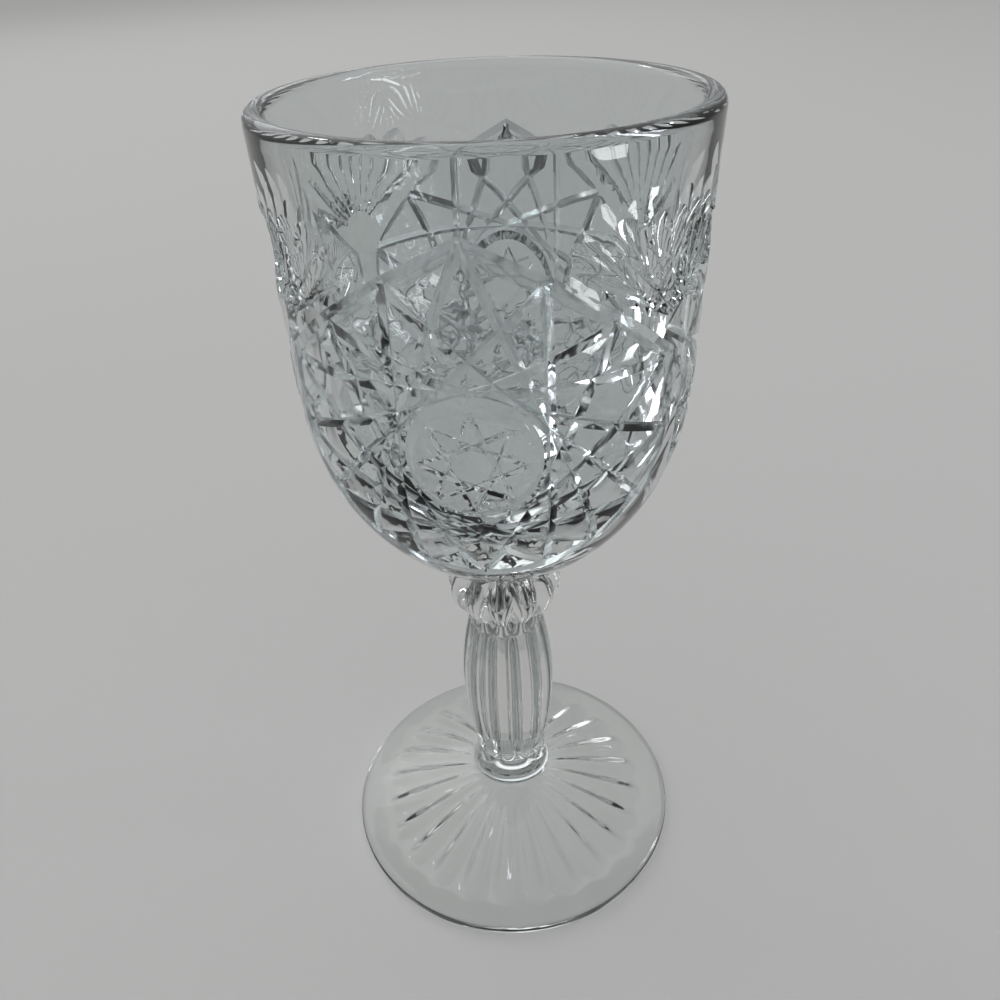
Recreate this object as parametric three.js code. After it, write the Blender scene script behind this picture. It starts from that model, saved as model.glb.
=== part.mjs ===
import * as THREE from 'three';

// Wine goblet of clear pressed glass: foot, stem, collar and bowl, stacked along Z. Millimetres.

// Flat round joints where neighbouring pieces meet
const footJointDiameter = 15.6;
const waistDiameter = 15.6;
const bowlJointDiameter = 15.6;

// Foot
const footDiameter = 75;
const footHeight = 21;
const footEdgeThickness = 3;
const footConeShare = 0.65;
const footFlare = 30;
const standingRingWidth = 5;
const hollowHeight = 7.5;
const hollowRounding = 1.6;
const rayCount = 24;
const rayDepth = 0.8;
const rayHubRadius = 11;
const rayEndGap = 2.5;

// Stem
const stemLength = 38;
const stemDiameter = 20;
const stemBulgeSkew = 1.15;
const stemBulgeFullness = 0.9;
const ribDepth = 0.9;

// Collar between stem and bowl
const collarLength = 15.5;
const collarDiameter = 23.4;
const collarBulgeSkew = 1.3;
const collarBulgeFullness = 0.8;
const lobeDepth = 1.3;

// Ribs of the stem, which run on as the lobes of the collar
const ribCount = 12;
const ribFade = 0.4;

// Bowl
const bowlHeight = 87.5;
const rimDiameter = 71.6;
const shoulderDiameter = 69.6;
const shoulderHeight = 53.5;
const lipThickness = 3.4;
const wallThickness = 6;
const floorThickness = 9;
const wallRounding = 3;
const wallTaper = 0.95;
const insideRounding = 2.6;
const insideTaper = 0.6;

// Star panels round the bowl: wide ones, with a narrow one after each
const panelPairs = 2;
const widePanelAngle = 120;
const panelGap = 5.2;
const widePoints = 16;
const narrowPoints = 12;
const starAboveMiddle = 4.65;
const apexDrop = 10.5;
const narrowApexGap = 2.4;
const cornerRise = 11.8;
const cornerInset = 0.8;
const frameBow = 1.3;
const frameSideDrop = 1;
const frameRounding = 1.6;
const bottomDrop = 28;
const bandBelow = 2;
const cutWidth = 2.2;
const cutDepth = 1.1;

// Round button in the middle of each star
const wideButtonDiameter = 22;
const narrowButtonDiameter = 10.4;
const buttonBevel = 1.9;
const buttonStarPoints = 8;
const buttonStarInset = 0.5;
const buttonCutWidth = 1.1;
const buttonCutDepth = 0.45;

// Fans between the panels: a middle flute on the seam and others on each side of it
const sideFlutes = 4;
const fluteDepth = 0.9;
const fluteStart = 3.4;
const fluteRounding = 2.8;
const fanRadius = 27;
const fanTopGap = 9.5;
const fanBaseRise = 3.7;
const fanSideAngle = 0.03;
const fanMeetingGap = 0.6;

// Corners that a chord of a star spans
const wideChordSpan = 6;
const narrowChordSpan = 5;
const buttonChordSpan = 3;

// Shares: of the star points on the upper edges, of a flute's dish, of its length where it is deep on the seam
const upperShare = 3 / 8;
const dishShare = 0.5;
const dishDepthShare = 0.85;
const seamDeepShares = [0.3, 0.75];

// Facets: sides of a button, longest plain facet, least flat top, columns and rows of the ribs, wall steps
const buttonSides = 24;
const plainFacet = 6;
const leastFlat = 0.33;
const ribColumns = 4;
const ribRows = 13;
const wallSteps = 600;

// Smallest distance and area told apart, and the distance within which two corners are one
const EPS = 1e-6;
const LEAST_AREA = 1e-5;
const WELD = 2e-3;
const TURN = 2 * Math.PI;

// Plane polygon helpers. A polygon is a counterclockwise list of [x, y].
function area(polygon) {
  let sum = 0;
  polygon.forEach((p, i) => {
    const q = polygon[(i + 1) % polygon.length];
    sum += p[0] * q[1] - p[1] * q[0];
  });
  return sum / 2;
}

function centroid(polygon) {
  let x = 0;
  let y = 0;
  polygon.forEach((p, i) => {
    const q = polygon[(i + 1) % polygon.length];
    const w = p[0] * q[1] - p[1] * q[0];
    x += (p[0] + q[0]) * w;
    y += (p[1] + q[1]) * w;
  });
  const total = 6 * area(polygon);
  return [x / total, y / total];
}

function usable(polygon) {
  return polygon.length > 2 && area(polygon) > LEAST_AREA;
}

// Least distance from a point inside a convex polygon to its edges.
function clearance(point, polygon) {
  let least = Infinity;
  polygon.forEach((p, i) => {
    const q = polygon[(i + 1) % polygon.length];
    const length = Math.hypot(q[0] - p[0], q[1] - p[1]);
    const d = ((point[1] - p[1]) * (q[0] - p[0]) - (point[0] - p[0]) * (q[1] - p[1])) / length;
    least = Math.min(least, d);
  });
  return least;
}

// Splits a convex polygon along the line through p and q: first the left part, then the right part.
function split(polygon, p, q) {
  const length = Math.hypot(q[0] - p[0], q[1] - p[1]);
  const nx = (q[1] - p[1]) / length;
  const ny = (p[0] - q[0]) / length;
  const side = polygon.map((v) => {
    const d = (v[0] - p[0]) * nx + (v[1] - p[1]) * ny;
    return Math.abs(d) < EPS ? 0 : d;
  });
  const left = [];
  const right = [];
  polygon.forEach((v, i) => {
    const j = (i + 1) % polygon.length;
    if (side[i] <= 0) left.push(v);
    if (side[i] >= 0) right.push(v);
    if (side[i] * side[j] < 0) {
      const t = side[i] / (side[i] - side[j]);
      const w = polygon[j];
      const m = [v[0] + (w[0] - v[0]) * t, v[1] + (w[1] - v[1]) * t];
      left.push(m);
      right.push(m);
    }
  });
  return [left, right];
}

function splitAll(polygons, p, q) {
  return polygons.flatMap((polygon) => split(polygon, p, q).filter(usable));
}

// Part of a convex polygon inside another convex polygon.
function inside(polygon, hole) {
  let rest = polygon;
  hole.forEach((p, i) => {
    if (usable(rest)) rest = split(rest, p, hole[(i + 1) % hole.length])[0];
  });
  return rest;
}

// Convex pieces of the polygons that lie outside a convex hole.
function outside(polygons, hole) {
  const kept = [];
  polygons.forEach((polygon) => {
    if (!usable(inside(polygon, hole))) {
      kept.push(polygon);
      return;
    }
    let rest = polygon;
    hole.forEach((p, i) => {
      if (!usable(rest)) return;
      const [left, right] = split(rest, p, hole[(i + 1) % hole.length]);
      if (usable(right)) kept.push(right);
      rest = left;
    });
  });
  return kept;
}

function mirrored(polygon) {
  return polygon.map((p) => [-p[0], p[1]]).reverse();
}

// Regular polygon about the origin with a corner straight up.
function ringOf(count, radius) {
  return Array.from({ length: count }, (_, i) => {
    const a = TURN * (i / count);
    return [-radius * Math.sin(a), radius * Math.cos(a)];
  });
}

// Faces left when a convex polygon is crossed by the long chords between its corners.
function starFaces(corners, span) {
  let faces = [corners];
  corners.forEach((p, i) => {
    faces = splitAll(faces, p, corners[(i + span) % corners.length]);
  });
  return faces;
}

// Triangle list with shared vertices.
class Skin {
  constructor() {
    this.points = [];
    this.faces = [];
  }

  add(x, y, z) {
    this.points.push(x, y, z);
    return this.points.length / 3 - 1;
  }

  // Vertex at an angle round the axis, counted from -Y towards +X.
  turned(r, a, z) {
    return this.add(r * Math.sin(a), -r * Math.cos(a), z);
  }

  face(a, b, c) {
    if (a !== b && b !== c && c !== a) this.faces.push(a, b, c);
  }

  // Strip between two rings of the same size, or between a ring and a single pole vertex.
  strip(lower, upper) {
    const n = Math.max(lower.length, upper.length);
    for (let k = 0; k < n; k += 1) {
      const a = lower[k % lower.length];
      const b = lower[(k + 1) % lower.length];
      const c = upper[(k + 1) % upper.length];
      const d = upper[k % upper.length];
      this.face(a, b, c);
      this.face(a, c, d);
    }
  }

  geometry() {
    const geometry = new THREE.BufferGeometry();
    geometry.setAttribute('position', new THREE.Float32BufferAttribute(this.points, 3));
    geometry.setIndex(this.faces);
    geometry.computeVertexNormals();
    return geometry;
  }
}

// Solid of stacked rings, closed by a pole below and a pole above.
function stacked(columns, rows, bottom, top, place) {
  const skin = new Skin();
  let last = [skin.add(0, 0, bottom)];
  for (let row = 0; row < rows; row += 1) {
    const ring = [];
    for (let col = 0; col < columns; col += 1) {
      const [r, z] = place(row, col);
      ring.push(skin.turned(r, TURN * (col / columns), z));
    }
    skin.strip(last, ring);
    last = ring;
  }
  skin.strip(last, [skin.add(0, 0, top)]);
  return skin.geometry();
}

// Foot: rounded edge, top that sweeps up into the stem, hollow underside cut with rays.
function footGeometry() {
  const round = footEdgeThickness / 2;
  const neck = footJointDiameter / 2;
  const ringOut = footDiameter / 2 - round;
  const ringIn = ringOut - standingRingWidth;
  const rayOut = ringIn - rayEndGap;
  const under = (r) => hollowHeight * (1 - (r / ringIn) ** 2) ** hollowRounding;
  const rows = [
    [rayHubRadius / 2, 0],
    [rayHubRadius, 0],
    [rayHubRadius + (rayOut - rayHubRadius) * 0.25, 1],
    [rayHubRadius + (rayOut - rayHubRadius) * 0.5, 1],
    [rayHubRadius + (rayOut - rayHubRadius) * 0.8, 1],
    [rayOut, 0],
    [ringIn, 0],
  ].map(([r, cut]) => [r, under(r), cut]);
  rows.push([ringOut, 0, 0]);
  [-45, 0, 45].forEach((deg) => {
    const a = THREE.MathUtils.degToRad(deg);
    rows.push([ringOut + round * Math.cos(a), round + round * Math.sin(a), 0]);
  });
  [0.03, 0.16, 0.34, 0.52, 0.68, 0.8, 0.88, 0.93, 0.96, 0.98, 1].forEach((q) => {
    const sweep = footConeShare * q + (1 - footConeShare) * q ** footFlare;
    const rise = (footHeight - footEdgeThickness) * sweep;
    rows.push([ringOut + (neck - ringOut) * q, footEdgeThickness + rise, 0]);
  });
  return stacked(rayCount * ribColumns, rows.length, hollowHeight, footHeight, (row, col) => {
    const [r, z, cut] = rows[row];
    const wave = 1 - Math.abs(1 - (col % ribColumns) / (ribColumns / 2));
    return [r, z + cut * wave * rayDepth];
  });
}

// Round body with vertical ribs that fade out at both flat ends.
function ribbedGeometry({ length, lower, upper, widest, skew, fullness, depth }) {
  const lastRow = ribRows - 1;
  return stacked(ribCount * ribColumns, ribRows, 0, length, (row, col) => {
    const v = row / lastRow;
    const atEnd = row === 0 || row === lastRow;
    const swell = atEnd ? 0 : Math.sin(Math.PI * v ** skew) ** fullness;
    const fade = atEnd ? 0 : Math.sin(Math.PI * v) ** ribFade;
    const groove = 1 - Math.abs(Math.cos((Math.PI * col) / ribColumns));
    const straight = (lower + (upper - lower) * v) / 2;
    return [straight + (widest / 2 - straight) * swell - depth * groove * fade, length * v];
  });
}

// Outside of the bowl: rounded lower part up to the shoulder, then a straight flare up to the lip.
const lipFoot = bowlHeight - lipThickness / 2;

function wallRadius(z) {
  const shoulder = shoulderDiameter / 2;
  const neck = bowlJointDiameter / 2;
  if (z >= shoulderHeight) {
    return shoulder + ((rimDiameter / 2 - shoulder) * (z - shoulderHeight)) / (lipFoot - shoulderHeight);
  }
  const t = (shoulderHeight - z) / shoulderHeight;
  return neck + (shoulder - neck) * (1 - t ** wallRounding) ** wallTaper;
}

// Height, radius and length along the wall from the joint, worked out once in small steps.
const wallTable = [[0, wallRadius(0), 0]];
for (let i = 1; i <= wallSteps; i += 1) {
  const z = (lipFoot * i) / wallSteps;
  const r = wallRadius(z);
  const [z0, r0, s0] = wallTable[i - 1];
  wallTable.push([z, r, s0 + Math.hypot(z - z0, r - r0)]);
}
const wallLength = wallTable[wallSteps][2];

// Radius, height and outward direction of the wall at a length along it.
function wallAt(s) {
  let lo = 0;
  let hi = wallSteps;
  while (hi - lo > 1) {
    const mid = (lo + hi) >> 1;
    if (wallTable[mid][2] <= s) lo = mid;
    else hi = mid;
  }
  const [za, ra, sa] = wallTable[lo];
  const [zb, rb, sb] = wallTable[hi];
  const t = (s - sa) / (sb - sa);
  const run = sb - sa;
  return { r: ra + (rb - ra) * t, z: za + (zb - za) * t, nr: (zb - za) / run, nz: (ra - rb) / run };
}

// Unrolled panel: x is the arc at the shoulder, y the length along the wall from the star centre.
const starCentre = wallLength / 2 + starAboveMiddle;
const arcRadius = shoulderDiameter / 2;
const wideHalf = THREE.MathUtils.degToRad(widePanelAngle / 2) * arcRadius;
const narrowHalf = (Math.PI / panelPairs) * arcRadius - wideHalf;
const panelTop = wallLength - starCentre;
const fanBase = cornerRise + fanBaseRise;

// Corners of a star's frame, counterclockwise from the apex: bowed upper edges, rounded sides and bottom.
function frameCorners(half, apex, points) {
  const onSide = Math.round(points / 2);
  const upper = Math.round(onSide * upperShare);
  const lower = onSide - upper - 1;
  const reachOut = half - panelGap / 2;
  const right = [];
  for (let i = 0; i <= upper; i += 1) {
    const t = i / upper;
    const bow = 4 * frameBow * t * (1 - t);
    right.push([(reachOut - cornerInset) * t, apex + (cornerRise - apex) * t + bow]);
  }
  for (let k = 0; k <= lower; k += 1) {
    const a = (Math.PI / 2) * (k / lower);
    const c = k === lower ? 0 : Math.cos(a);
    const across = (c / reachOut) ** frameRounding;
    const down = (Math.sin(a) / (bottomDrop - frameSideDrop)) ** frameRounding;
    const reach = (across + down) ** (-1 / frameRounding);
    const y = -frameSideDrop - reach * Math.sin(a);
    right.push([(reach * c * arcRadius) / wallAt(starCentre + y).r, y]);
  }
  const left = mirrored(right.slice(1, -1)).reverse();
  return [right[0], ...left, ...right.slice(1).reverse()];
}

// Frame grown outward by the same distance on every edge.
function grown(corners, by) {
  const n = corners.length;
  return corners.map((p, i) => {
    const a = corners[(i + n - 1) % n];
    const b = corners[(i + 1) % n];
    const la = Math.hypot(p[0] - a[0], p[1] - a[1]);
    const lb = Math.hypot(b[0] - p[0], b[1] - p[1]);
    const na = [(p[1] - a[1]) / la, (a[0] - p[0]) / la];
    const nb = [(b[1] - p[1]) / lb, (p[0] - b[0]) / lb];
    const k = by / (1 + na[0] * nb[0] + na[1] * nb[1]);
    return [p[0] + (na[0] + nb[0]) * k, p[1] + (na[1] + nb[1]) * k];
  });
}

// Panel of a width, with its star's frame and the border round the frame.
function panelOf(half, apex, points, span, buttonDiameter) {
  const frame = frameCorners(half, apex, points);
  return { half, frame, border: grown(frame, cutWidth / 2), span, buttonRadius: buttonDiameter / 2 };
}

// The fans' last ridges run beside the wide frames, and the narrow frames end below them.
const wide = panelOf(wideHalf, panelTop - apexDrop, widePoints, wideChordSpan, wideButtonDiameter);
const fanSpread = Math.min(
  ...wide.border
    .filter((p) => p[1] > fanBase && p[0] > -EPS)
    .map((p) => Math.atan2(wideHalf - p[0], p[1] - fanBase)),
) - fanSideAngle;
const narrowApex = fanBase + narrowHalf / Math.tan(fanSpread) - narrowApexGap;
const narrow = panelOf(narrowHalf, narrowApex, narrowPoints, narrowChordSpan, narrowButtonDiameter);
const panelLow = Math.min(...[...wide.border, ...narrow.border].map((p) => p[1])) - bandBelow;

// Flutes of the right half of a panel, from the half of the middle one that lies on the seam.
function fanFlutes(half) {
  const pitch = fanSpread / (sideFlutes + 0.5);
  const roof = panelTop - fanTopGap - fanBase;
  const at = (angle, d) => [half - d * Math.sin(angle), fanBase + d * Math.cos(angle)];
  const flutes = [];
  for (let k = 0; k <= sideFlutes; k += 1) {
    const mid = pitch * k;
    const near = mid - pitch / 2;
    const far = mid + pitch / 2;
    const toMiddle = k === 0 ? Infinity : (half - fanMeetingGap) / Math.sin(mid);
    const reach = Math.min(fanRadius, roof / Math.cos(mid), toMiddle);
    const nearSide = [
      at(near, fluteStart),
      at(near, reach - fluteRounding),
      at(near + pitch / 4, reach - fluteRounding / 4),
    ];
    const onSeam = [0, ...seamDeepShares].map((t) => at(0, fluteStart + (reach - fluteStart) * t));
    flutes.push([
      ...(k === 0 ? onSeam : nearSide),
      at(mid, reach),
      at(far - pitch / 4, reach - fluteRounding / 4),
      at(far, reach - fluteRounding),
      at(far, fluteStart),
    ]);
  }
  return flutes;
}

// All cells of one panel, each a convex polygon tagged with the way it is shaped.
function panelCells({ half, frame, border, span, buttonRadius }) {
  const faceRadius = buttonRadius - buttonBevel;
  const button = ringOf(buttonSides, buttonRadius);
  const face = ringOf(buttonSides, faceRadius);
  const inner = ringOf(buttonStarPoints, faceRadius - buttonStarInset);
  const cells = [];
  const keep = (kind) => (polygon) => cells.push({ kind, polygon });
  const keepBand = (outer, within) => outer.forEach((p, i) => {
    const j = (i + 1) % outer.length;
    keep('plain')([p, outer[j], within[j], within[i]]);
  });
  outside(starFaces(frame, span), button).forEach(keep('star'));
  starFaces(inner, buttonChordSpan).forEach(keep('buttonStar'));
  outside([face], inner).forEach(keep('plain'));
  keepBand(button, face);
  keepBand(border, frame);

  const flutes = fanFlutes(half);
  let rest = outside([[[0, panelLow], [half, panelLow], [half, panelTop], [0, panelTop]]], border);
  flutes.forEach((flute) => {
    rest = outside(rest, flute);
  });
  const columns = Math.ceil(half / plainFacet);
  for (let i = 1; i < columns; i += 1) {
    const x = (half * i) / columns;
    rest = splitAll(rest, [x, 0], [x, 1]);
  }
  const bands = Math.ceil((cornerRise - panelLow) / plainFacet);
  for (let i = 1; i <= bands; i += 1) {
    const y = panelLow + ((cornerRise - panelLow) * i) / bands;
    rest = splitAll(rest, [0, y], [1, y]);
  }
  [...rest, ...rest.map(mirrored)].forEach(keep('plain'));
  [...flutes, ...flutes.map(mirrored)].forEach(keep('flute'));
  return { cells, inner };
}

// Corners shared by the cells, and each cell as a loop of them that takes in every corner on its edges.
// The seams of all panels have corners at the same heights.
// A sliver whose corners fall together or into one line leaves no face.
function jointed(cells, half, seamHeights) {
  const corners = [];
  const buckets = new Map();
  const bucketOf = (v) => Math.round(v / (2 * WELD));
  const index = (p) => {
    const i = bucketOf(p[0]);
    const j = bucketOf(p[1]);
    for (let a = i - 1; a <= i + 1; a += 1) {
      for (let b = j - 1; b <= j + 1; b += 1) {
        const found = (buckets.get(`${a},${b}`) || []).find(
          (k) => Math.hypot(corners[k][0] - p[0], corners[k][1] - p[1]) < WELD,
        );
        if (found !== undefined) return found;
      }
    }
    corners.push(p);
    const key = `${i},${j}`;
    buckets.set(key, [...(buckets.get(key) || []), corners.length - 1]);
    return corners.length - 1;
  };
  const between = (a, b) => {
    const [ax, ay] = corners[a];
    const dx = corners[b][0] - ax;
    const dy = corners[b][1] - ay;
    const length = Math.hypot(dx, dy);
    const on = [];
    corners.forEach((p, k) => {
      const t = ((p[0] - ax) * dx + (p[1] - ay) * dy) / length;
      const off = Math.abs((p[0] - ax) * dy - (p[1] - ay) * dx) / length;
      if (k !== a && k !== b && off < WELD && t > 0 && t < length) on.push([t, k]);
    });
    return on.sort((p, q) => p[0] - q[0]).map(([, k]) => k);
  };
  seamHeights.forEach((y) => {
    index([-half, y]);
    index([half, y]);
  });
  const rough = cells.map(({ kind, polygon }) => ({ kind, loop: polygon.map(index) }));
  const faces = rough.map(({ kind, loop }) => ({
    kind,
    loop: loop.flatMap((a, n) => {
      const b = loop[(n + 1) % loop.length];
      return a === b ? [] : [a, ...between(a, b)];
    }),
  }));
  return { corners, faces: faces.filter(({ loop }) => area(loop.map((k) => corners[k])) > EPS) };
}

// Height of each shared corner above the wall: corners of the cuts lie at the bottom of the cuts.
// The middle flutes are deep where they cross the seam.
function cornerHeights(corners, faces, inner, half) {
  const heights = corners.map(() => 0);
  faces.forEach(({ kind, loop }) => {
    if (kind === 'star') {
      loop.forEach((k) => {
        heights[k] = -cutDepth;
      });
    }
    if (kind === 'buttonStar') {
      loop.forEach((k) => {
        heights[k] = clearance(corners[k], inner) < WELD ? 0 : -buttonCutDepth;
      });
    }
    if (kind === 'flute') {
      const seam = loop.filter((k) => Math.abs(corners[k][0]) > half - WELD);
      const levels = seam.map((k) => corners[k][1]);
      seam.forEach((k) => {
        const y = corners[k][1];
        const within = y > Math.min(...levels) + WELD && y < Math.max(...levels) - WELD;
        heights[k] = within ? -fluteDepth * dishDepthShare : 0;
      });
    }
  });
  return heights;
}

// Bowl: cut panels on the outside, plain round bottom with a flat joint face, rounded lip, smooth inside.
function bowlGeometry() {
  const skin = new Skin();
  const kinds = [wide, narrow].map((kind) => ({ ...kind, ...panelCells(kind) }));
  const seamHeights = kinds.flatMap(({ cells, half }) => (
    cells.flatMap(({ polygon }) => polygon.filter((p) => p[0] > half - WELD).map((p) => p[1]))
  ));
  const jointedKinds = kinds.map(({ cells, inner, half }) => {
    const { corners, faces } = jointed(cells, half, seamHeights);
    return { half, corners, faces, heights: cornerHeights(corners, faces, inner, half) };
  });
  const count = 2 * panelPairs;
  const panels = Array.from({ length: count }, (_, i) => ({
    ...jointedKinds[i % 2],
    next: jointedKinds[(i + 1) % 2],
    middle: (TURN * i) / count,
  }));
  const spot = (panel, [x, y], h) => {
    const wall = wallAt(starCentre + y);
    return skin.turned(wall.r + wall.nr * h, panel.middle + x / arcRadius, wall.z + wall.nz * h);
  };

  // Vertices of the shared corners: those on the right seam are the next panel's on its left seam.
  const onRight = (panel, k) => panel.corners[k][0] > panel.half - WELD;
  const own = panels.map((panel) => (
    panel.corners.map((p, k) => (onRight(panel, k) ? -1 : spot(panel, p, panel.heights[k])))
  ));
  const vertex = (i, k) => {
    const panel = panels[i];
    if (!onRight(panel, k)) return own[i][k];
    const { corners, half } = panel.next;
    const y = panel.corners[k][1];
    const facing = corners.findIndex((q) => q[0] < WELD - half && Math.abs(q[1] - y) < WELD);
    return own[(i + 1) % count][facing];
  };

  // Each cell rises or sinks from its edge to its middle.
  const cuts = { star: [cutWidth / 2, cutDepth], buttonStar: [buttonCutWidth / 2, buttonCutDepth] };
  panels.forEach((panel, i) => panel.faces.forEach(({ kind, loop }) => {
    const outline = loop.map((k) => panel.corners[k]);
    const c = centroid(outline);
    let ring = loop.map((k) => vertex(i, k));
    let middle = loop.reduce((sum, k) => sum + panel.heights[k], 0) / loop.length;
    const inset = (scale, h) => {
      const next = outline.map((p) => (
        spot(panel, [c[0] + (p[0] - c[0]) * scale, c[1] + (p[1] - c[1]) * scale], h)
      ));
      skin.strip(ring, next);
      ring = next;
    };
    if (kind in cuts) {
      const [flank, depth] = cuts[kind];
      const room = clearance(c, outline);
      middle = -depth * Math.max(0, 1 - room / flank);
      if (room > flank + leastFlat) inset(1 - flank / room, 0);
    }
    if (kind === 'flute') {
      inset(dishShare, -fluteDepth * dishDepthShare);
      middle = -fluteDepth;
    }
    skin.strip(ring, [spot(panel, c, middle)]);
  }));

  // Rings of the plain stretches run on from the corners along the edges of the panels.
  const edgeRow = (y) => panels.flatMap((panel, i) => (
    panel.corners
      .map(([x], k) => ({ a: panel.middle + x / arcRadius, id: own[i][k], k }))
      .filter(({ k }) => Math.abs(panel.corners[k][1] - y) < WELD && !onRight(panel, k))
      .sort((p, q) => p.a - q.a)
  ));
  const lathe = (row, r, z) => row.map(({ a }) => skin.turned(r, a, z));

  const bottomRow = edgeRow(panelLow);
  let last = [skin.add(0, 0, 0)];
  [0, 0.1, 0.25, 0.45, 0.7].forEach((t) => {
    const wall = wallAt((starCentre + panelLow) * t);
    const ring = lathe(bottomRow, wall.r, wall.z);
    skin.strip(last, ring);
    last = ring;
  });
  skin.strip(last, bottomRow.map(({ id }) => id));

  const topRow = edgeRow(panelTop);
  const lip = lipThickness / 2;
  last = topRow.map(({ id }) => id);
  [45, 90, 135, 180].forEach((deg) => {
    const a = THREE.MathUtils.degToRad(deg);
    const ring = lathe(topRow, rimDiameter / 2 - lip + lip * Math.cos(a), lipFoot + lip * Math.sin(a));
    skin.strip(last, ring);
    last = ring;
  });
  const insideShoulder = shoulderDiameter / 2 - wallThickness;
  [0, 0.25, 0.45, 0.6, 0.74, 0.85, 0.93, 0.98].forEach((t) => {
    const z = shoulderHeight - (shoulderHeight - floorThickness) * t;
    const ring = lathe(topRow, insideShoulder * (1 - t ** insideRounding) ** insideTaper, z);
    skin.strip(last, ring);
    last = ring;
  });
  skin.strip(last, [skin.add(0, 0, floorThickness)]);
  return skin.geometry();
}

// Clear glass piece standing at a height on the axis.
function glass(name, geometry, base) {
  const material = new THREE.MeshStandardMaterial({ color: 0xdfe8e6, roughness: 0.05, metalness: 0 });
  const mesh = new THREE.Mesh(geometry, material);
  mesh.name = name;
  mesh.position.z = base;
  return mesh;
}

const stem = ribbedGeometry({
  length: stemLength,
  lower: footJointDiameter,
  upper: waistDiameter,
  widest: stemDiameter,
  skew: stemBulgeSkew,
  fullness: stemBulgeFullness,
  depth: ribDepth,
});
const collar = ribbedGeometry({
  length: collarLength,
  lower: waistDiameter,
  upper: bowlJointDiameter,
  widest: collarDiameter,
  skew: collarBulgeSkew,
  fullness: collarBulgeFullness,
  depth: lobeDepth,
});

const goblet = new THREE.Group();
goblet.name = 'wine_goblet';
goblet.add(glass('foot', footGeometry(), 0));
goblet.add(glass('stem', stem, footHeight));
goblet.add(glass('collar', collar, footHeight + stemLength));
goblet.add(glass('bowl', bowlGeometry(), footHeight + stemLength + collarLength));

export default goblet;
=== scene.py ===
import math

import bpy
import numpy as np
from mathutils import Matrix, Vector
from mathutils.geometry import delaunay_2d_cdt
from mathutils.kdtree import KDTree


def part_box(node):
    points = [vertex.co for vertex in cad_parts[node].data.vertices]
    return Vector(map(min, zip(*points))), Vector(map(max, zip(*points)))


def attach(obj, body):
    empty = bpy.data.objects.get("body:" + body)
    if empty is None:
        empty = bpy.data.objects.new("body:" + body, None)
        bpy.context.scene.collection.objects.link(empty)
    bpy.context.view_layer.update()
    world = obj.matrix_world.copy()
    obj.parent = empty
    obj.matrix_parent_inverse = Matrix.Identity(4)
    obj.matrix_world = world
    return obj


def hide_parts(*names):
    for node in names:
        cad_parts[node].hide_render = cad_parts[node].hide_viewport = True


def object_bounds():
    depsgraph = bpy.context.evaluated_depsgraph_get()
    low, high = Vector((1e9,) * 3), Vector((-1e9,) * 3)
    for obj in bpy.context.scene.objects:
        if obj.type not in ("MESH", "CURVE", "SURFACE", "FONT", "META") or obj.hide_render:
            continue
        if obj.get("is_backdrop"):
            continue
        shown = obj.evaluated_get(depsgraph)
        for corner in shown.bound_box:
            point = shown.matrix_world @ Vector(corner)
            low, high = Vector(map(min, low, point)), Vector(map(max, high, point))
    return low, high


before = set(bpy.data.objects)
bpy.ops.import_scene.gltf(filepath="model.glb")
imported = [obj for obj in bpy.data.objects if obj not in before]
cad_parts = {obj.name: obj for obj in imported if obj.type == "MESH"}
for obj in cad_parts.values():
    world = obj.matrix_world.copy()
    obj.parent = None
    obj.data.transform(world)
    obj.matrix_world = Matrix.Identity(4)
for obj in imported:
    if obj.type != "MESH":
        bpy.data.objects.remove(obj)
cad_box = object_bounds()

# Shapes are worked out in millimetres and stored in metres.
MM = 0.001
TURN = 2 * math.pi

# Heights of the joints and widths of the bodies, from the frame
FOOT_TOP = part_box("foot")[1].z / MM
STEM_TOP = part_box("stem")[1].z / MM
COLLAR_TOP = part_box("collar")[1].z / MM
BOWL_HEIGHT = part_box("bowl")[1].z / MM - COLLAR_TOP
FOOT_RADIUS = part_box("foot")[1].x / MM
STEM_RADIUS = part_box("stem")[1].x / MM
COLLAR_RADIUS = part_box("collar")[1].x / MM
JOINT_RADIUS = 7.8

# Foot: a rounded edge, a cone that flares up to the stem, a hollow underside with a standing ring
EDGE_THICKNESS = 3.0
EDGE_ANGLES = (-90, 80)
FOOT_CONE = 0.65
FOOT_FLARE = 80
RING_WIDTH = 5.0
HOLLOW_HEIGHT = 7.5
HOLLOW_ROUNDING = 1.6

# Leaf-shaped rays under the foot
RAY_COUNT = 24
RAY_START = 4.0
RAY_END = 30.5
RAY_DEPTH = 0.8
RAY_LEAN = 2.2
RAY_FULLNESS = 0.7
RAY_SHARPNESS = 1.5

# Stem and collar
RIB_COUNT = 12
RIB_DEPTH = 1.2
RIB_CREST = 4
RIB_FADE = 3.0
GROOVE_START = 0.68
STEM_SKEW = 1.15
STEM_FULLNESS = 0.9
LOBE_DEPTH = 1.5
LOBE_CREST = 2.2
LOBE_PETAL = 0.25
LOBE_START = 0.2
COLLAR_SKEW = 1.1
COLLAR_FULLNESS = 0.75

# Bowl
RIM_RADIUS = 35.8
SHOULDER_RADIUS = 34.8
SHOULDER_HEIGHT = 53.5
BOWL_FULLNESS = 3
BOWL_ROUNDING = 0.95
LIP_RADIUS = 1.7
WALL = 6.0
BOWL_FLOOR = 9.0
INSIDE_FULLNESS = 2.6
INSIDE_ROUNDING = 0.6

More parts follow.
